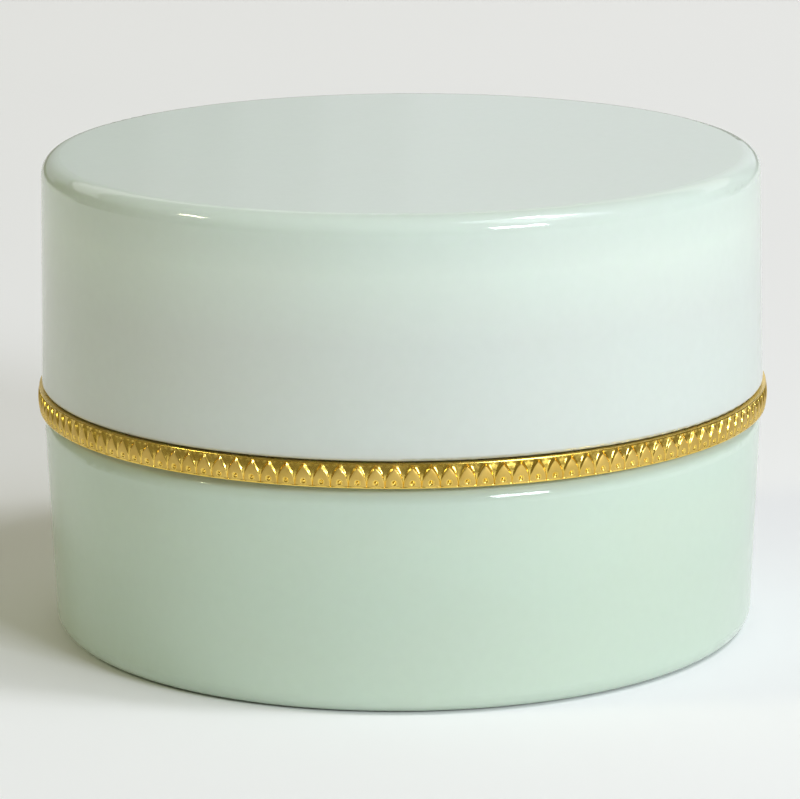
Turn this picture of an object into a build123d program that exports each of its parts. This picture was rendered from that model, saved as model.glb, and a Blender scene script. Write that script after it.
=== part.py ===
"""Cosmetic cream jar: a heavy opal-glass jar and lid with a gilt ring between them.

Millimetres, +Z up, origin at the centre of the foot's bearing plane, lid closed.
The lid is a glass shell cemented over a threaded insert. It unscrews from the jar's neck by the
right-hand rule about +Z, and rises one thread lead for each turn.
"""

import os
from math import cos, radians, sin

from build123d import *

# ---------------------------------------------------------------- driving dimensions
total_height = 54.3
shoulder_height = 25.4  # the plane that the ring sits on
ring_height = 2.7

lid_rim_radius = 41.0
lid_top_radius = 40.5
jar_shoulder_radius = 40.85
jar_foot_radius = 39.85
ring_radius = 41.5

edge_round = 2.1  # outer roundings of the lid's top, the jar's shoulder and its foot
lid_gap = 0.12  # between the ring and the lid's rim

# neck and screw thread, after a 70 mm single-start jar finish
neck_radius = 33.5
neck_height = 11.2
mouth_radius = 31.0
thread_crest_radius = 34.75
thread_lead = 25.4 / 6

# ---------------------------------------------------------------- jar
ring_top = shoulder_height + ring_height
neck_top = shoulder_height + neck_height
neck_rim_round = 0.9

foot_recess_radius = 31.0
foot_recess_depth = 0.8

well_radius = 34.0
well_floor = 7.0
well_floor_round = 6.0
well_roof = shoulder_height - 3.0  # where the mouth's wall ends and the roof slopes outwards
well_roof_foot = well_roof - (well_radius - mouth_radius)
well_roof_round = 3.0

collar_land_radius = thread_crest_radius + 0.15
collar_land_top = ring_top - 0.2
collar_land_chamfer = 0.5

# ---------------------------------------------------------------- threads
ridge_root = 0.3  # how far a ridge runs into the wall that carries it
ridge_fade_deg = 60.0  # a ridge has its full height this far from its ends
ridge_end_depth = 0.05  # how far below the wall its crest has sunk at the ends

neck_ridge_halves = (0.95, 0.5)  # half widths at the wall and at the crest
neck_ridge_bottom = shoulder_height + 4.3  # middle of the ridge where it starts
neck_ridge_start_deg = 0.0
neck_ridge_turn_deg = 430.0

insert_bore_radius = thread_crest_radius + 0.4
insert_crest_radius = neck_radius + 0.45
insert_ridge_halves = (0.85, 0.4)
insert_ridge_drop = 1.45  # middle of the insert's ridge below the neck's, lid closed
insert_ridge_start_deg = 145.0
insert_ridge_turn_deg = 400.0
insert_ridge_bottom = (
    neck_ridge_bottom + thread_lead * insert_ridge_start_deg / 360 - insert_ridge_drop
)

# ---------------------------------------------------------------- ring
adhesive_thickness = 0.15
adhesive_radius = 38.4
channel_bore_radius = collar_land_radius + 0.1
channel_bottom = shoulder_height + adhesive_thickness
channel_thickness = 0.55
strip_thickness = 0.8
strip_bore_radius = ring_radius - strip_thickness
strip_rail = 0.3  # height of the plain rails along the strip's edges
strip_field_depth = 0.35  # how far the field lies behind the rails
strip_seam = 0.12  # butt joint of the strip's ends, at the back

# ---------------------------------------------------------------- sealing disc
disc_thickness = 0.8
disc_flange_radius = 33.1
disc_plug_radius = mouth_radius - 0.35
disc_plug_depth = 3.4
disc_skirt = 1.1
disc_draft = 0.4
disc_top = neck_top + disc_thickness
disc_floor_bottom = neck_top - disc_plug_depth
disc_floor_top = disc_floor_bottom + disc_thickness
tab_length = 16.0
tab_thickness = 1.4
tab_height = 2.3
tab_corner_round = 1.8

# ---------------------------------------------------------------- liner
liner_radius = insert_bore_radius - 0.25
facing_bottom = disc_top + 0.02
facing_top = facing_bottom + 0.25
wad_top = facing_top + 1.4

# ---------------------------------------------------------------- lid
lid_rim_height = ring_top + lid_gap
lid_rim_round = 0.4
lid_ceiling = total_height - 6.0
lid_ceiling_round = 4.0

insert_wall = 1.3
insert_plate = 1.5
insert_radius = insert_bore_radius + insert_wall
insert_bottom = lid_rim_height + 0.3
insert_top = wad_top + insert_plate
insert_lead_in = 0.4
insert_corner_round = 0.6
key_count = 12
key_depth = 0.4
key_width = 3.0
key_height = 5.0
key_bottom = insert_bottom + 4.0
post_count = 6
post_radius = 2.0
post_circle_radius = 27.0
stiffener_thickness = 1.2
stiffener_height = 1.6

lid_inner_rim_radius = insert_radius + 0.75
lid_inner_top_radius = lid_inner_rim_radius - 0.35
cement_bottom = insert_bottom + 3.0
cement_top = insert_top + 0.7
cement_lip_radius = 33.5


# ---------------------------------------------------------------- helpers
def section(*outline):
    """Face in the XZ plane with a closed outline through (radius, height) points."""
    with BuildSketch(Plane.XZ) as face:
        with BuildLine():
            Polyline(*outline, close=True)
        make_face()
    return face.sketch


def rim(body, radius, height, tolerance=0.02):
    """The circular edges about +Z that have that radius and lie at that height."""
    return (
        body.edges()
        .filter_by(GeomType.CIRCLE)
        .filter_by(lambda edge: abs(edge.radius - radius) < tolerance)
        .filter_by(lambda edge: abs(edge.center().Z - height) < tolerance)
    )


def lid_inner_radius(height):
    """Radius of the lid's tapered inner wall at a height."""
    share = (height - lid_rim_height) / (lid_ceiling - lid_rim_height)
    return lid_inner_rim_radius + share * (lid_inner_top_radius - lid_inner_rim_radius)


def ridge_sweep(wall_radius, crest_radius, halves, bottom, turn_deg):
    """A right-hand ridge of trapezoid section that climbs one thread lead for each turn, from
    the +X side."""
    wall_half, crest_half = halves
    outwards = Vector(1 if crest_radius > wall_radius else -1, 0, 0)
    depth = abs(crest_radius - wall_radius)
    with BuildPart() as ridge:
        with BuildLine(Plane.XY.offset(bottom)) as path:
            Helix(pitch=thread_lead, height=thread_lead * turn_deg / 360, radius=wall_radius)
        with BuildSketch(Plane(origin=path.line @ 0, x_dir=outwards, z_dir=path.line % 0)):
            with BuildLine():
                Polyline(
                    (-ridge_root, -wall_half),
                    (0, -wall_half),
                    (depth, -crest_half),
                    (depth, crest_half),
                    (0, wall_half),
                    (-ridge_root, wall_half),
                    close=True,
                )
            make_face()
        sweep(path=path.line, is_frenet=True)
    return ridge.part


def fade_cut(wall_radius, crest_radius, end_deg, height):
    """What a ridge loses as it fades into its wall towards an end at that angle and height.

    The crest it leaves is part of an off-centre cylinder."""
    outwards = crest_radius > wall_radius
    side = 1 if outwards else -1
    fall = abs(crest_radius - wall_radius) + ridge_end_depth
    shift = fall / (1 - cos(radians(ridge_fade_deg)))
    end = radians(end_deg)
    with BuildPart() as cut:
        if outwards:
            with Locations((0, 0, height)):
                Cylinder(crest_radius + shift, thread_lead)
        with Locations((-side * shift * cos(end), -side * shift * sin(end), height)):
            Cylinder(
                crest_radius - side * (fall - shift),
                thread_lead,
                mode=Mode.SUBTRACT if outwards else Mode.ADD,
            )
    return cut.part


def thread(wall_radius, crest_radius, halves, bottom, start_deg, turn_deg):
    """A thread ridge whose two ends fade into the wall that carries it."""
    top = bottom + thread_lead * turn_deg / 360
    ends = ((start_deg, bottom), (start_deg + turn_deg, top))
    with BuildPart() as ridge:
        add(
            ridge_sweep(wall_radius, crest_radius, halves, bottom, turn_deg),
            rotation=(0, 0, start_deg),
        )
        for end_deg, height in ends:
            add(
                fade_cut(wall_radius, crest_radius, end_deg, height),
                mode=Mode.SUBTRACT,
            )
    return ridge.part


os.makedirs("parts", exist_ok=True)

# ---------------------------------------------------------------- jar body, opal glass
with BuildPart() as jar_body:
    revolve(
        section(
            (0, foot_recess_depth),
            (foot_recess_radius - foot_recess_depth, foot_recess_depth),
            (foot_recess_radius, 0),
            (jar_foot_radius, 0),
            (jar_shoulder_radius, shoulder_height),
            (collar_land_radius, shoulder_height),
            (collar_land_radius, collar_land_top),
            (neck_radius, collar_land_top),
            (neck_radius, neck_top),
            (mouth_radius, neck_top),
            (mouth_radius, well_roof),
            (well_radius, well_roof_foot),
            (well_radius, well_floor),
            (0, well_floor),
        ),
        axis=Axis.Z,
    )
    fillet(rim(jar_body, jar_foot_radius, 0), edge_round)
    fillet(rim(jar_body, jar_shoulder_radius, shoulder_height), edge_round)
    fillet(rim(jar_body, well_radius, well_floor), well_floor_round)
    fillet(rim(jar_body, mouth_radius, well_roof), well_roof_round)
    fillet(rim(jar_body, well_radius, well_roof_foot), well_roof_round)
    fillet(rim(jar_body, neck_radius, neck_top), neck_rim_round)
    fillet(rim(jar_body, mouth_radius, neck_top), neck_rim_round)
    chamfer(rim(jar_body, collar_land_radius, collar_land_top), collar_land_chamfer)
    add(
        thread(
            neck_radius,
            thread_crest_radius,
            neck_ridge_halves,
            neck_ridge_bottom,
            neck_ridge_start_deg,
            neck_ridge_turn_deg,
        )
    )
jar_body.part.label = "jar_body"
export_step(jar_body.part, "parts/jar_body.step")

# ---------------------------------------------------------------- ring: adhesive, channel, strip
with BuildPart() as collar_adhesive:
    revolve(
        section(
            (channel_bore_radius, shoulder_height),
            (adhesive_radius, shoulder_height),
            (adhesive_radius, channel_bottom),
            (channel_bore_radius, channel_bottom),
        ),
        axis=Axis.Z,
    )
collar_adhesive.part.label = "collar_adhesive"
export_step(collar_adhesive.part, "parts/collar_adhesive.step")

with BuildPart() as collar_channel:
    revolve(
        section(
            (channel_bore_radius, channel_bottom),
            (strip_bore_radius, channel_bottom),
            (strip_bore_radius, ring_top),
            (channel_bore_radius, ring_top),
            (channel_bore_radius, ring_top - channel_thickness),
            (strip_bore_radius - channel_thickness, ring_top - channel_thickness),
            (strip_bore_radius - channel_thickness, channel_bottom + channel_thickness),
            (channel_bore_radius, channel_bottom + channel_thickness),
        ),
        axis=Axis.Z,
    )
collar_channel.part.label = "collar_channel"
export_step(collar_channel.part, "parts/collar_channel.step")

with BuildPart() as gallery_strip:
    revolve(
        section(
            (strip_bore_radius, shoulder_height),
            (ring_radius, shoulder_height),
            (ring_radius, shoulder_height + strip_rail),
            (ring_radius - strip_field_depth, shoulder_height + strip_rail),
            (ring_radius - strip_field_depth, ring_top - strip_rail),
            (ring_radius, ring_top - strip_rail),
            (ring_radius, ring_top),
            (strip_bore_radius, ring_top),
        ),
        axis=Axis.Z,
    )
    with Locations((0, ring_radius, shoulder_height + ring_height / 2)):
        Box(strip_seam, 4 * strip_thickness, 2 * ring_height, mode=Mode.SUBTRACT)
gallery_strip.part.label = "gallery_strip"
export_step(gallery_strip.part, "parts/gallery_strip.step")

# ---------------------------------------------------------------- sealing disc with its lift tab
with BuildPart() as sealing_disc:
    revolve(
        section(
            (0, disc_floor_bottom),
            (disc_plug_radius - disc_draft, disc_floor_bottom),
            (disc_plug_radius, neck_top),
            (disc_flange_radius, neck_top),
            (disc_flange_radius, disc_top),
            (disc_plug_radius - disc_skirt, disc_top),
            (disc_plug_radius - disc_skirt - disc_draft, disc_floor_top),
            (0, disc_floor_top),
        ),
        axis=Axis.Z,
    )
    with BuildSketch(Plane.XZ) as tab_face:
        with Locations((0, disc_floor_top)):
            Rectangle(tab_length, tab_height, align=(Align.CENTER, Align.MIN))
        fillet(tab_face.vertices().group_by(Axis.Y)[-1], tab_corner_round)
    extrude(amount=tab_thickness / 2, both=True)
sealing_disc.part.label = "sealing_disc"
export_step(sealing_disc.part, "parts/sealing_disc.step")

# ---------------------------------------------------------------- lid insert with its thread
with BuildPart() as lid_insert:
    revolve(
        section(
            (insert_bore_radius + insert_lead_in, insert_bottom),
            (insert_radius, insert_bottom),
            (insert_radius, insert_top),
            (0, insert_top),
            (0, wad_top),
            (insert_bore_radius, wad_top),
            (insert_bore_radius, insert_bottom + insert_lead_in),
        ),
        axis=Axis.Z,
    )
    fillet(rim(lid_insert, insert_radius, insert_top), insert_corner_round)
    with BuildSketch(Plane.XY.offset(key_bottom)):
        with PolarLocations(insert_radius, key_count):
            Rectangle(2 * key_depth, key_width)
    extrude(amount=key_height)
    with BuildSketch(Plane.XY.offset(insert_top)):
        Circle(post_circle_radius + stiffener_thickness / 2)
        Circle(post_circle_radius - stiffener_thickness / 2, mode=Mode.SUBTRACT)
    extrude(amount=stiffener_height)
    with BuildSketch(Plane.XY.offset(insert_top)):
        with PolarLocations(post_circle_radius, post_count):
            Circle(post_radius)
    extrude(amount=lid_ceiling - insert_top)
    add(
        thread(
            insert_bore_radius,
            insert_crest_radius,
            insert_ridge_halves,
            insert_ridge_bottom,
            insert_ridge_start_deg,
            insert_ridge_turn_deg,
        )
    )
lid_insert.part.label = "lid_insert"
export_step(lid_insert.part, "parts/lid_insert.step")

# ---------------------------------------------------------------- liner: foam wad, film facing
with BuildPart() as liner_facing:
    with BuildSketch(Plane.XY.offset(facing_bottom)):
        Circle(liner_radius)
    extrude(amount=facing_top - facing_bottom)
liner_facing.part.label = "liner_facing"
export_step(liner_facing.part, "parts/liner_facing.step")

with BuildPart() as liner_wad:
    with BuildSketch(Plane.XY.offset(facing_top)):
        Circle(liner_radius)
    extrude(amount=wad_top - facing_top)
liner_wad.part.label = "liner_wad"
export_step(liner_wad.part, "parts/liner_wad.step")

# ---------------------------------------------------------------- cement, cast round the insert
with BuildPart() as lid_cement:
    revolve(
        section(
            (insert_radius - insert_wall / 2, cement_bottom),
            (lid_inner_radius(cement_bottom), cement_bottom),
            (lid_inner_radius(cement_top), cement_top),
            (cement_lip_radius, cement_top),
            (cement_lip_radius, insert_top - insert_plate / 2),
            (insert_radius - insert_wall / 2, insert_top - insert_plate / 2),
        ),
        axis=Axis.Z,
    )
    add(lid_insert.part, mode=Mode.SUBTRACT)
lid_cement.part.label = "lid_cement"
export_step(lid_cement.part, "parts/lid_cement.step")

# ---------------------------------------------------------------- lid shell, opal glass
with BuildPart() as lid_shell:
    revolve(
        section(
            (lid_inner_rim_radius, lid_rim_height),
            (lid_rim_radius, lid_rim_height),
            (lid_top_radius, total_height),
            (0, total_height),
            (0, lid_ceiling),
            (lid_inner_top_radius, lid_ceiling),
        ),
        axis=Axis.Z,
    )
    fillet(rim(lid_shell, lid_top_radius, total_height), edge_round)
    fillet(rim(lid_shell, lid_rim_radius, lid_rim_height), lid_rim_round)
    fillet(rim(lid_shell, lid_inner_rim_radius, lid_rim_height), lid_rim_round)
    fillet(rim(lid_shell, lid_inner_top_radius, lid_ceiling), lid_ceiling_round)
lid_shell.part.label = "lid_shell"
export_step(lid_shell.part, "parts/lid_shell.step")
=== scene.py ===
"""Cosmetic cream jar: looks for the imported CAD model.

Nine of the ten CAD nodes keep their shape and get procedural materials. The tenth, the gilt
strip of pointed arches, is built here as a relief, because the CAD strip is only its plain
blank. All lengths are metres, in the CAD's frame.
"""

from math import cos, hypot, pi, radians, sin, sqrt

import bpy
import numpy as np
from mathutils import Matrix, Vector


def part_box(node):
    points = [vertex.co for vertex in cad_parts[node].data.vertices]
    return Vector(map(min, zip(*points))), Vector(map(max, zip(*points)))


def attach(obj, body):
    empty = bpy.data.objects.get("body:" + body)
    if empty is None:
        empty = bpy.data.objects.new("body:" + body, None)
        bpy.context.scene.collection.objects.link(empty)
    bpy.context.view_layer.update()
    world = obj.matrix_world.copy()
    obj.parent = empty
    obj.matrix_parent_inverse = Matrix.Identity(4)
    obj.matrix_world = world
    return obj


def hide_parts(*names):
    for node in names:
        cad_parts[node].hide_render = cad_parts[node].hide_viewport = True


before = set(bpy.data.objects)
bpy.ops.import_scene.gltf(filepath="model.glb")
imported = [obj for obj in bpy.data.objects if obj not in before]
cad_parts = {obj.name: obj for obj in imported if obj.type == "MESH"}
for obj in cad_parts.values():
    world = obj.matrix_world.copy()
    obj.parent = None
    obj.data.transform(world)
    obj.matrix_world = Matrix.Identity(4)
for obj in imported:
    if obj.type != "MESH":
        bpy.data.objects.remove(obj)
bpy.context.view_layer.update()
scene = bpy.context.scene
MM = 0.001


# ------------------------------------------------------------------------------ node helpers
NOISE_RANGE = (0.3, 0.7)  # what a noise texture's factor mostly lies between


def new_material(name):
    """An empty node material, its tree and its Principled BSDF."""
    material = bpy.data.materials.new(name)
    material.use_nodes = True
    tree = material.node_tree
    tree.nodes.clear()
    output = tree.nodes.new("ShaderNodeOutputMaterial")
    shader = tree.nodes.new("ShaderNodeBsdfPrincipled")
    tree.links.new(shader.outputs["BSDF"], output.inputs["Surface"])
    return material, tree, shader


def noise(tree, scale, detail=3.0, stretch=(1, 1, 1), roughness=0.5):
    """Noise over the object's own coordinates, in cycles per metre; its factor output."""
    coordinates = tree.nodes.new("ShaderNodeTexCoord")
    mapping = tree.nodes.new("ShaderNodeMapping")
    mapping.inputs["Scale"].default_value = stretch
    texture = tree.nodes.new("ShaderNodeTexNoise")
    texture.inputs["Scale"].default_value = scale
    texture.inputs["Detail"].default_value = detail
    texture.inputs["Roughness"].default_value = roughness
    tree.links.new(coordinates.outputs["Object"], mapping.inputs["Vector"])
    tree.links.new(mapping.outputs["Vector"], texture.inputs["Vector"])
    return texture.outputs["Fac"]


def height_share(tree, low, high):
    """0 at the low height and 1 at the high one, in the object's own coordinates."""
    coordinates = tree.nodes.new("ShaderNodeTexCoord")
    separate = tree.nodes.new("ShaderNodeSeparateXYZ")
    share = tree.nodes.new("ShaderNodeMapRange")
    share.interpolation_type = "SMOOTHSTEP"
    share.inputs["From Min"].default_value = low
    share.inputs["From Max"].default_value = high
    tree.links.new(coordinates.outputs["Object"], separate.inputs["Vector"])
    tree.links.new(separate.outputs["Z"], share.inputs["Value"])
    return share.outputs["Result"]


def ramp(tree, factor, *stops):
    """A colour ramp through (position, (r, g, b)) stops."""
    node = tree.nodes.new("ShaderNodeValToRGB")
    elements = node.color_ramp.elements
    while len(elements) < len(stops):
        elements.new(0.5)  # anywhere, as its place is set below
    for element, (position, colour) in zip(elements, stops):
        element.position = position
        element.color = (*colour, 1)
    tree.links.new(factor, node.inputs["Fac"])
    return node.outputs["Color"]


def multiply_colours(tree, share, first, second):
    """Multiplies one colour output by another, by a share of the full effect."""
    node = tree.nodes.new("ShaderNodeMix")
    node.data_type = "RGBA"
    node.blend_type = "MULTIPLY"
    node.inputs["Factor"].default_value = share
    tree.links.new(first, node.inputs["A"])
    tree.links.new(second, node.inputs["B"])
    return node.outputs["Result"]


def spread(tree, factor, low, high):
    """A noise factor spread between two values."""
    node = tree.nodes.new("ShaderNodeMapRange")
    node.inputs["From Min"].default_value = NOISE_RANGE[0]
    node.inputs["From Max"].default_value = NOISE_RANGE[1]
    node.inputs["To Min"].default_value = low
    node.inputs["To Max"].default_value = high
    tree.links.new(factor, node.inputs["Value"])
    return node.outputs["Result"]


def bump(tree, shader, *layers):
    """Chains bumps of (height output, distance in metres, strength) into the shader's normal."""
    normal = None
    for height, distance, strength in layers:
        node = tree.nodes.new("ShaderNodeBump")
        node.inputs["Distance"].default_value = distance
        node.inputs["Strength"].default_value = strength
        tree.links.new(height, node.inputs["Height"])
        if normal is not None:
            tree.links.new(normal, node.inputs["Normal"])
        normal = node.outputs["Normal"]
    tree.links.new(normal, shader.inputs["Normal"])


# ------------------------------------------------------------------------------ materials
# The three colours up the glass paint light and shade: a painted glow on the upper wall and painted
# shade lower down.
OPAL_STOPS = (0.45, 0.85, 1.0)  # where up the glass each of its three colours stands
OPAL_IOR = 1.5
OPAL_GLOSS = (0.03, 0.06)  # lowest and highest roughness of the glossy glass
SATIN_ROUGHNESS = 0.07  # how much rougher the satin glass is
SATIN_BLEND = 0.3 * MM  # height over which gloss turns to satin


def opal_glass(name, colours, low, high, tint, satin_from):
    """Milky pressed glass with faint flow marks, glossy up to a height and satin above it.

    Its three colours are those of its lower half, its upper wall and its top, between the
    low and high heights: a lighter upper wall, which is painted light glowing near the top
    edge, and a darker lower half, which is painted shade. The tint is that of the flow marks."""
    material, tree, shader = new_material(name)
    # painted light and shade: the colour ramp up the glass is lighter on the upper wall and darker
    # lower down
    body = ramp(tree, height_share(tree, low, high), *zip(OPAL_STOPS, colours))
    flow = noise(tree, scale=32, detail=5, stretch=(1.0, 0.45, 1.6), roughness=0.6)
    streaks = ramp(tree, flow, (0.42, (1, 1, 1)), (0.6, tint))
    clouded = multiply_colours(tree, 0.5, body, streaks)
    grain = noise(tree, scale=900, detail=2)
    speckle = ramp(tree, grain, (0.3, (0.985, 0.985, 0.985)), (0.7, (1, 1, 1)))
    speckled = multiply_colours(tree, 1.0, clouded, speckle)
    tree.links.new(speckled, shader.inputs["Base Color"])
    satin = height_share(tree, satin_from, satin_from + SATIN_BLEND)
    gloss = spread(tree, noise(tree, scale=60, detail=4), *OPAL_GLOSS)
    roughness = tree.nodes.new("ShaderNodeMath")
    roughness.operation = "MULTIPLY_ADD"
    tree.links.new(satin, roughness.inputs[0])
    roughness.inputs[1].default_value = SATIN_ROUGHNESS
    tree.links.new(gloss, roughness.inputs[2])
    tree.links.new(roughness.outputs["Value"], shader.inputs["Roughness"])
    shader.inputs["IOR"].default_value = OPAL_IOR
    shader.inputs["Subsurface Weight"].default_value = 0.35
    shader.inputs["Subsurface Radius"].default_value = (1.0, 1.15, 0.95)
    shader.inputs["Subsurface Scale"].default_value = 3.5 * MM
    waves = noise(tree, scale=45, detail=2)
    bump(tree, shader, (waves, 0.25 * MM, 0.12), (grain, 0.01 * MM, 0.05))
    return material


def gilt(name, colour, dull, roughness, grain_scale, grain_depth):
    """Gilded brass: polished or sandblasted, by its roughness and grain."""
    material, tree, shader = new_material(name)
    wear = noise(tree, scale=140, detail=5, roughness=0.65)
    tone = ramp(tree, wear, (0.35, dull), (0.6, colour))
    tree.links.new(tone, shader.inputs["Base Color"])
    smears = spread(tree, noise(tree, scale=700), roughness * 0.8, roughness * 1.25)
    tree.links.new(smears, shader.inputs["Roughness"])
    shader.inputs["Metallic"].default_value = 1.0
    dents = noise(tree, scale=900)
    grain = noise(tree, scale=grain_scale, detail=2)
    bump(tree, shader, (dents, 0.02 * MM, 0.25), (grain, grain_depth, 0.6))
    return material


def moulded(name, colour, shade, roughness, grain_scale=1400, grain_depth=0.02 * MM, soft=0.1):
    """Moulded plastic, film, foam or cement, by its roughness and the size of its grain.

    Soft is how much light scatters inside it."""
    material, tree, shader = new_material(name)
    tone = ramp(tree, noise(tree, scale=90, detail=4), (0.35, shade), (0.65, colour))
    tree.links.new(tone, shader.inputs["Base Color"])
    smears = spread(tree, noise(tree, scale=350), roughness * 0.85, roughness * 1.15)
    tree.links.new(smears, shader.inputs["Roughness"])
    shader.inputs["Subsurface Weight"].default_value = soft
    shader.inputs["Subsurface Radius"].default_value = (1.0, 1.0, 1.0)
    shader.inputs["Subsurface Scale"].default_value = 0.8 * MM
    bump(tree, shader, (noise(tree, scale=grain_scale), grain_depth, 0.5))
    return material


def paint(node, material):
    """Gives a CAD node its finished material."""
    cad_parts[node].data.materials[0] = material


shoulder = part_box("gallery_strip")[0].z
jar_foot, jar_neck_top = (corner.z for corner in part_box("jar_body"))
lid_rim, lid_top = (corner.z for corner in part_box("lid_shell"))

jar_opal = opal_glass(
    "jar_opal_glass",
    # lighter towards the shoulder and darker towards the foot: painted light and painted shade
    colours=((0.56, 0.68, 0.56), (0.58, 0.70, 0.58), (0.58, 0.70, 0.59)),
    low=jar_foot,
    high=shoulder,
    tint=(1.0, 0.97, 0.96),
    satin_from=jar_neck_top,  # so the jar is glossy all over
)
lid_opal = opal_glass(
    "lid_opal_glass",
    # the lighter upper wall is a painted glow of light near the top edge, and the darker lower half
    # is painted shade
    colours=((0.64, 0.70, 0.64), (0.68, 0.77, 0.68), (0.63, 0.72, 0.64)),
    low=lid_rim,
    high=lid_top,
    tint=(1.0, 0.97, 0.97),
    satin_from=lid_top - SATIN_BLEND,  # so only the lid's flat top is satin
)
gilt_polished = gilt(
    "gilt_polished",
    colour=(0.96, 0.69, 0.16),
    dull=(0.84, 0.58, 0.10),
    roughness=0.23,
    grain_scale=2600,
    grain_depth=0.014 * MM,
)
gilt_blasted = gilt(
    "gilt_sandblasted",
    colour=(0.76, 0.54, 0.15),
    dull=(0.64, 0.44, 0.10),
    roughness=0.52,
    grain_scale=9000,
    grain_depth=0.02 * MM,
)
channel_brass = gilt(
    "channel_brass",
    colour=(0.86, 0.63, 0.27),
    dull=(0.66, 0.45, 0.16),
    roughness=0.24,
    grain_scale=3000,
    grain_depth=0.006 * MM,
)
ring_adhesive = moulded(
    "ring_adhesive", colour=(0.74, 0.62, 0.36), shade=(0.62, 0.50, 0.28), roughness=0.35, soft=0.4
)
disc_polythene = moulded(
    "disc_polythene", colour=(0.86, 0.88, 0.87), shade=(0.80, 0.82, 0.81), roughness=0.42, soft=0.3
)
insert_polypropylene = moulded(
    "insert_polypropylene",
    colour=(0.84, 0.85, 0.82),
    shade=(0.78, 0.79, 0.76),
    roughness=0.33,
    soft=0.25,
)
cement = moulded(
    "cement",
    colour=(0.74, 0.72, 0.64),
    shade=(0.62, 0.60, 0.52),
    roughness=0.85,
    grain_scale=800,
    grain_depth=0.08 * MM,
)
wad_foam = moulded(
    "wad_foam",
    colour=(0.88, 0.88, 0.85),
    shade=(0.80, 0.80, 0.77),
    roughness=0.9,
    grain_scale=2600,
    grain_depth=0.12 * MM,
)
facing_film = moulded(
    "facing_film", colour=(0.90, 0.91, 0.90), shade=(0.86, 0.87, 0.86), roughness=0.22
)
paint("jar_body", jar_opal)
paint("lid_shell", lid_opal)
paint("collar_channel", channel_brass)
paint("collar_adhesive", ring_adhesive)
paint("sealing_disc", disc_polythene)
paint("lid_insert", insert_polypropylene)
paint("lid_cement", cement)
paint("liner_wad", wad_foam)
paint("liner_facing", facing_film)

# ------------------------------------------------------------------------------ gilt strip
ARCHES = 134
SEAM_HALF = 0.06 * MM  # half the gap where the strip's ends meet, at the back
RAIL = 0.14 * MM  # height of the plain rails above and below the arches
TIP = 0.955  # height of an arch's tip, as a share of the strip's
TIP_HALF = 0.085 * MM  # half width of an arch where its blunt tip meets the rail
ARCH_POWER = 2.6  # how full the arch's shoulders are
BEVEL_FOOT = 0.07 * MM  # width of an arch's bevelled flank at its foot
BEVEL_HEAD = 0.30 * MM  # and towards its tip
BEVEL_SHARE = 0.85  # the most of an arch's half width that its bevel takes
BEVEL_SLOPE = 0.95  # the steepest a flank falls, over its whole width
BEVEL_CURVE = 1.4  # how much the flank rounds over from the leaf, 1 being straight
LEAF_DEPTH = 0.03 * MM  # how far the leaf's middle lies behind the crown
LEAF_PILLOW = 0.05 * MM  # how far a leaf falls off towards its edges
LEAF_END = 0.83  # where the sandblasted leaf ends and the polished ridge begins
FIELD_DEPTH = 0.19 * MM  # depth of the field between arches, at its foot
FIELD_SCOOP = 0.15 * MM  # how much deeper the field gets under the upper rail
SCOOP_FROM = 0.2  # height where the field starts to deepen, as a share of the strip's
SCOOP_SPAN = 0.9  # and the share of the height over which it would get its full depth
FIELD_EASE = 1.5  # the field is level from 1 / this of its width
BEAD_HEIGHT = 0.235  # centre of the bead, as a share of the strip's height
BEAD_RADIUS = 0.19 * MM
BEAD_SINK = 0.01 * MM  # how far the bead's front lies behind the crown
BEAD_HOLLOW = 0.33 * MM  # radius of the hollow that the bead sits in
BEAD_SHADOW = 0.26 * MM  # and its depth
HOLLOW_POLISH = 0.8  # share of the hollow's radius that is polished
BEAD_RINGS = 6
BEAD_SIDES = 12
CROWN = 0.20 * MM  # how far the strip's section bulges
EDGE_ROUND = 0.05 * MM
BACK_GAP = 0.01 * MM  # between the strip's back and the channel
SHARP_ANGLE = radians(50)  # edges sharper than this are shaded as edges

# Heights of the rows of vertices across a plain rail, from its edge, then of the first row
# on the arches, and how many rows the arches have.
RAIL_ROWS = (0.3 * EDGE_ROUND, EDGE_ROUND, 0.9 * RAIL)
ARCH_MARGIN = 1.3 * RAIL
ARCH_ROWS = 22

# Where columns of vertices run across half an arch's cell: over the leaf as shares of its
# width, then down the bevelled flank, then over the field out to the cell's border.
LEAF_COLUMNS = (0.0, 0.13, 0.26, 0.40, 0.62, 0.86, 1.0)
FLANK_COLUMNS = (0.35, 0.68, 1.0)
FIELD_COLUMNS = (0.5, 1.0)
LEAF, FLANK, FIELD = range(3)

strip_low, strip_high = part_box("gallery_strip")
strip_radius = strip_high.x
strip_height = strip_high.z - strip_low.z
strip_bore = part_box("collar_channel")[1].x
seam_turn = SEAM_HALF / strip_radius
cell_half = (2 * pi - 2 * seam_turn) / ARCHES / 2 * strip_radius


def smooth_step(x):
    """0 below 0, 1 above 1 and an easy curve between."""
    x = min(max(x, 0.0), 1.0)
    return x * x * (3 - 2 * x)


def arch_half(t):
    """Half width of an arch at a height above the strip's lower edge."""
    share = min(t / (TIP * strip_height), 1.0)
    return max(cell_half * (1 - share**ARCH_POWER), TIP_HALF)


def arch_axis(arch):
    """Angle of an arch's middle, from the strip's seam."""
    return seam_turn + (2 * arch + 1) * cell_half / strip_radius


def crown(t):
    """How far the strip's bulging section falls back at a height."""
    offset = (t - strip_height / 2) / (strip_height / 2)
    return CROWN * offset * offset


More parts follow.
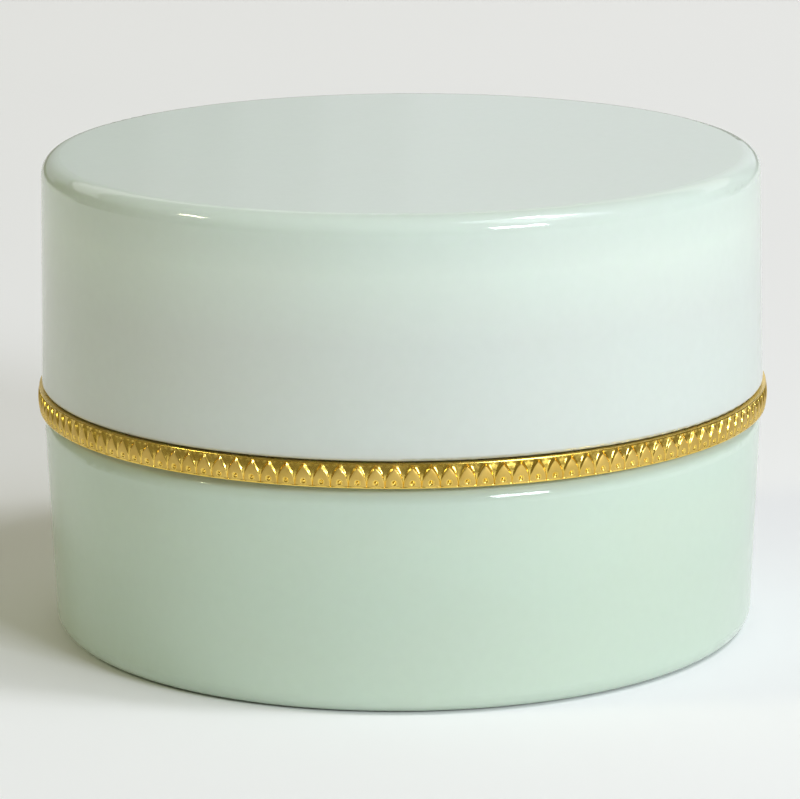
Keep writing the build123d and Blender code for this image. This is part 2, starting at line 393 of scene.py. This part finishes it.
def half_cell(t):
    """(offset from the arch's axis, depth behind the crown, zone) across half a cell."""
    outer = arch_half(t)
    up = t / strip_height
    widening = min(up / LEAF_END, 1.0) ** 2
    bevel = BEVEL_FOOT + (BEVEL_HEAD - BEVEL_FOOT) * widening
    bevel = min(bevel, BEVEL_SHARE * outer)
    leaf = outer - bevel
    leaf_edge = LEAF_DEPTH + LEAF_PILLOW
    field = FIELD_DEPTH + FIELD_SCOOP * smooth_step((up - SCOOP_FROM) / SCOOP_SPAN)
    drop = min(field - leaf_edge, BEVEL_SLOPE * bevel)
    columns = []
    for share in LEAF_COLUMNS:
        side = share * leaf
        to_bead = hypot(side, t - BEAD_HEIGHT * strip_height) / BEAD_HOLLOW
        hollow = BEAD_SHADOW * (1 - smooth_step(to_bead))
        zone = LEAF if to_bead > HOLLOW_POLISH else FLANK
        columns.append((side, LEAF_DEPTH + LEAF_PILLOW * share**3 + hollow, zone))
    for share in FLANK_COLUMNS:
        columns.append((leaf + share * bevel, leaf_edge + drop * share**BEVEL_CURVE, FLANK))
    for share in FIELD_COLUMNS:
        depth = leaf_edge + drop + (field - leaf_edge - drop) * smooth_step(share * FIELD_EASE)
        columns.append((outer + share * (cell_half - outer), depth, FIELD))
    return columns


def strip_rows():
    """Rows up the strip's face: (height, True on the arches and False on the plain rails)."""
    low, high = ARCH_MARGIN, strip_height - ARCH_MARGIN
    rows = [(t, False) for t in RAIL_ROWS]
    rows += [(low + (high - low) * k / (ARCH_ROWS - 1), True) for k in range(ARCH_ROWS)]
    rows += [(strip_height - t, False) for t in reversed(RAIL_ROWS)]
    return rows


def rail_depth(t):
    """Depth of the plain rails behind the crown, with their outer corners rounded."""
    edge = min(t, strip_height - t)
    corner = max(EDGE_ROUND - edge, 0.0)
    return EDGE_ROUND - sqrt(max(EDGE_ROUND**2 - corner**2, 0.0))


def face_row(t, on_arches):
    """Angles, radii and sandblasted flags of a row across the strip's face, all its way round.

    A rail's row has its columns where the nearest row on the arches has them."""
    half = half_cell(min(max(t, ARCH_MARGIN), strip_height - ARCH_MARGIN))
    full = [(-side, depth, zone) for side, depth, zone in reversed(half[1:])] + half
    sandblasted = on_arches and t < LEAF_END * strip_height
    angles, radii, flags = [], [], []
    for arch in range(ARCHES):
        last = arch == ARCHES - 1
        for side, depth, zone in full if last else full[:-1]:
            fall = depth if on_arches else rail_depth(t)
            angles.append(arch_axis(arch) + side / strip_radius)
            radii.append(strip_radius - crown(t) - fall)
            flags.append(sandblasted and zone == LEAF)
    return angles, radii, flags


def gallery_mesh():
    """The strip as one closed band: a ring of section loops, open only at the seam."""
    heights, angles, radii, flags = [], [], [], []
    for t, on_arches in strip_rows():
        row_angles, row_radii, row_flags = face_row(t, on_arches)
        heights.append(t)
        angles.append(row_angles)
        radii.append(row_radii)
        flags.append(row_flags)
    # the back of the strip, which lies on the channel
    for t, like in ((strip_height, angles[-1]), (strip_height / 2, angles[0]), (0.0, angles[0])):
        heights.append(t)
        angles.append(like)
        radii.append([strip_bore + BACK_GAP] * len(like))
        flags.append([False] * len(like))
    around = np.array(angles) + pi / 2  # the seam is at the back, on +Y
    radius = np.array(radii)
    height = np.repeat(np.array(heights)[:, None], around.shape[1], axis=1) + strip_low.z
    points = np.stack([radius * np.cos(around), radius * np.sin(around), height], axis=-1)
    index = np.arange(around.size).reshape(around.shape)
    above = np.roll(index, -1, axis=0)
    quads = np.stack([index[:, :-1], index[:, 1:], above[:, 1:], above[:, :-1]], axis=-1)
    faces = [tuple(quad) for quad in quads.reshape(-1, 4).tolist()]
    faces.append(tuple(index[:, 0].tolist()))  # the strip's two ends, at the seam
    faces.append(tuple(reversed(index[:, -1].tolist())))
    leaf = np.array(flags)
    leaf_above = np.roll(leaf, -1, axis=0)
    blasted = leaf[:, :-1] & leaf[:, 1:] & leaf_above[:, :-1] & leaf_above[:, 1:]
    mesh = bpy.data.meshes.new("gallery_relief")
    mesh.from_pydata(points.reshape(-1, 3).tolist(), [], faces)
    mesh.materials.append(gilt_polished)
    mesh.materials.append(gilt_blasted)
    slots = np.concatenate([blasted.reshape(-1).astype(np.int32), [0, 0]])
    mesh.polygons.foreach_set("material_index", slots)
    mesh.shade_smooth()
    mesh.set_sharp_from_angle(angle=SHARP_ANGLE)
    mesh.update()
    return mesh


def bead_mesh():
    """The polished beads, one at the foot of each arch."""
    points, faces = [], []
    height = BEAD_HEIGHT * strip_height
    depth = crown(height) + BEAD_RADIUS + BEAD_SINK
    up = Vector((0, 0, 1))
    for arch in range(ARCHES):
        turn = arch_axis(arch) + pi / 2
        outwards = Vector((cos(turn), sin(turn), 0))
        across = Vector((-sin(turn), cos(turn), 0))
        centre = outwards * (strip_radius - depth) + up * (strip_low.z + height)
        start = len(points)
        points.append(centre + outwards * BEAD_RADIUS)
        for ring in range(1, BEAD_RINGS):
            polar = pi * ring / BEAD_RINGS
            for side in range(BEAD_SIDES):
                turn_side = 2 * pi * side / BEAD_SIDES
                spoke = across * cos(turn_side) + up * sin(turn_side)
                points.append(centre + (outwards * cos(polar) + spoke * sin(polar)) * BEAD_RADIUS)
        points.append(centre - outwards * BEAD_RADIUS)
        for side in range(BEAD_SIDES):
            after = (side + 1) % BEAD_SIDES
            faces.append((start, start + 1 + side, start + 1 + after))
            for ring in range(BEAD_RINGS - 2):
                row = start + 1 + ring * BEAD_SIDES
                inner = row + BEAD_SIDES
                faces.append((row + side, inner + side, inner + after, row + after))
            row = start + 1 + (BEAD_RINGS - 2) * BEAD_SIDES
            faces.append((row + side, len(points) - 1, row + after))
    mesh = bpy.data.meshes.new("gallery_beads")
    mesh.from_pydata([tuple(point) for point in points], [], faces)
    mesh.materials.append(gilt_polished)
    mesh.shade_smooth()
    mesh.update()
    return mesh


def show(name, mesh):
    """A new object in the scene with this mesh."""
    piece = bpy.data.objects.new(name, mesh)
    scene.collection.objects.link(piece)
    return piece


gallery = show("gallery_relief", gallery_mesh())
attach(gallery, "jar")
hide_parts("gallery_strip")
beads = show("gallery_beads", bead_mesh())
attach(beads, "jar")

# ------------------------------------------------------------------------------ floor and light
FLOOR_HALF = 6.0
FLOOR_CORNERS = ((-1, -1), (1, -1), (1, 1), (-1, 1))
JAR_MIDDLE = Vector((0, 0, lid_top / 2))
FLOOR_BEHIND = Vector((0, 0.6, 0))  # the stretch of floor that the camera sees behind the jar
WORLD_COLOUR = (1.0, 0.94, 0.68)
WORLD_STRENGTH = 0.195

floor_mesh = bpy.data.meshes.new("floor")
floor_points = [(x * FLOOR_HALF, y * FLOOR_HALF, 0) for x, y in FLOOR_CORNERS]
floor_mesh.from_pydata(floor_points, [], [(0, 1, 2, 3)])
floor_material, floor_tree, floor_shader = new_material("pale_floor")
floor_noise = noise(floor_tree, scale=3)
floor_tone = ramp(floor_tree, floor_noise, (0.3, (0.90, 0.90, 0.90)), (0.7, (0.92, 0.92, 0.92)))
floor_tree.links.new(floor_tone, floor_shader.inputs["Base Color"])
floor_shader.inputs["Roughness"].default_value = 0.9
floor_shader.inputs["Specular IOR Level"].default_value = 0.1
floor_mesh.materials.append(floor_material)
floor = show("floor", floor_mesh)


def lamp(name, azimuth, elevation, distance, width, height, watts, colour=(1, 1, 1), aim=JAR_MIDDLE):
    """A soft rectangular lamp that faces its aim, from degrees right of the front and degrees up.

    The camera doesn't see it, except reflected."""
    data = bpy.data.lights.new(name, "AREA")
    data.shape = "RECTANGLE"
    data.size = width
    data.size_y = height
    data.energy = watts
    data.color = colour
    a, e = radians(azimuth), radians(elevation)
    direction = Vector((sin(a) * cos(e), -cos(a) * cos(e), sin(e)))
    lamp_object = bpy.data.objects.new(name, data)
    lamp_object.location = aim + direction * distance
    lamp_object.rotation_euler = direction.to_track_quat("Z", "Y").to_euler()
    lamp_object.visible_camera = False
    scene.collection.objects.link(lamp_object)


# name, azimuth, elevation, distance, width, height, watts, colour
lamp("key_softbox", 38, 24, 1.2, 0.36, 0.22, 7.0, (0.95, 1.0, 1.12))
lamp("side_softbox", 72, 60, 1.2, 0.16, 0.30, 3.2, (0.98, 1.0, 1.06))
lamp("upper_softbox", 62, 55, 1.5, 0.80, 0.80, 5.5, (0.94, 1.0, 1.12))
lamp("left_lamp", -78, 38, 1.0, 0.15, 0.05, 1.2, (1.0, 0.98, 0.62))
lamp("back_sheet", 178, 15, 1.5, 2.4, 0.6, 1.15, (0.94, 1.0, 1.12))
# overlapping cards, so that the lid's top brightens to the right without an edge
for step in range(5):
    lamp(f"back_card_{step}", 172.5 - 1.5 * step, 15, 1.5, 0.7, 0.6, 0.10, (0.97, 1.0, 1.12))
lamp("floor_wash", 0, 90, 0.45, 1.8, 0.35, 1.6, aim=FLOOR_BEHIND)

world = bpy.data.worlds.new("studio")
world.use_nodes = True
background = world.node_tree.nodes["Background"]
background.inputs["Color"].default_value = (*WORLD_COLOUR, 1)
background.inputs["Strength"].default_value = WORLD_STRENGTH
scene.world = world
scene.view_settings.view_transform = "Standard"

# ------------------------------------------------------------------------------ camera
SENSOR_WIDTH = 36  # in millimetres, as Blender's cameras have it, and so is the lens
LENS = 197
CLIP_START = 0.01
CAMERA_PLACE = (-0.0003, -0.4867, 0.1406)
PITCH_DOWN = radians(13.33)
ROLL = radians(0.39)

camera_data = bpy.data.cameras.new("camera")
camera_data.sensor_width = SENSOR_WIDTH
camera_data.lens = LENS
camera_data.clip_start = CLIP_START
camera = bpy.data.objects.new("camera", camera_data)
camera.location = CAMERA_PLACE
camera.rotation_euler = (
    Matrix.Rotation(pi / 2 - PITCH_DOWN, 3, "X") @ Matrix.Rotation(-ROLL, 3, "Z")
).to_euler()
scene.collection.objects.link(camera)
scene.camera = camera
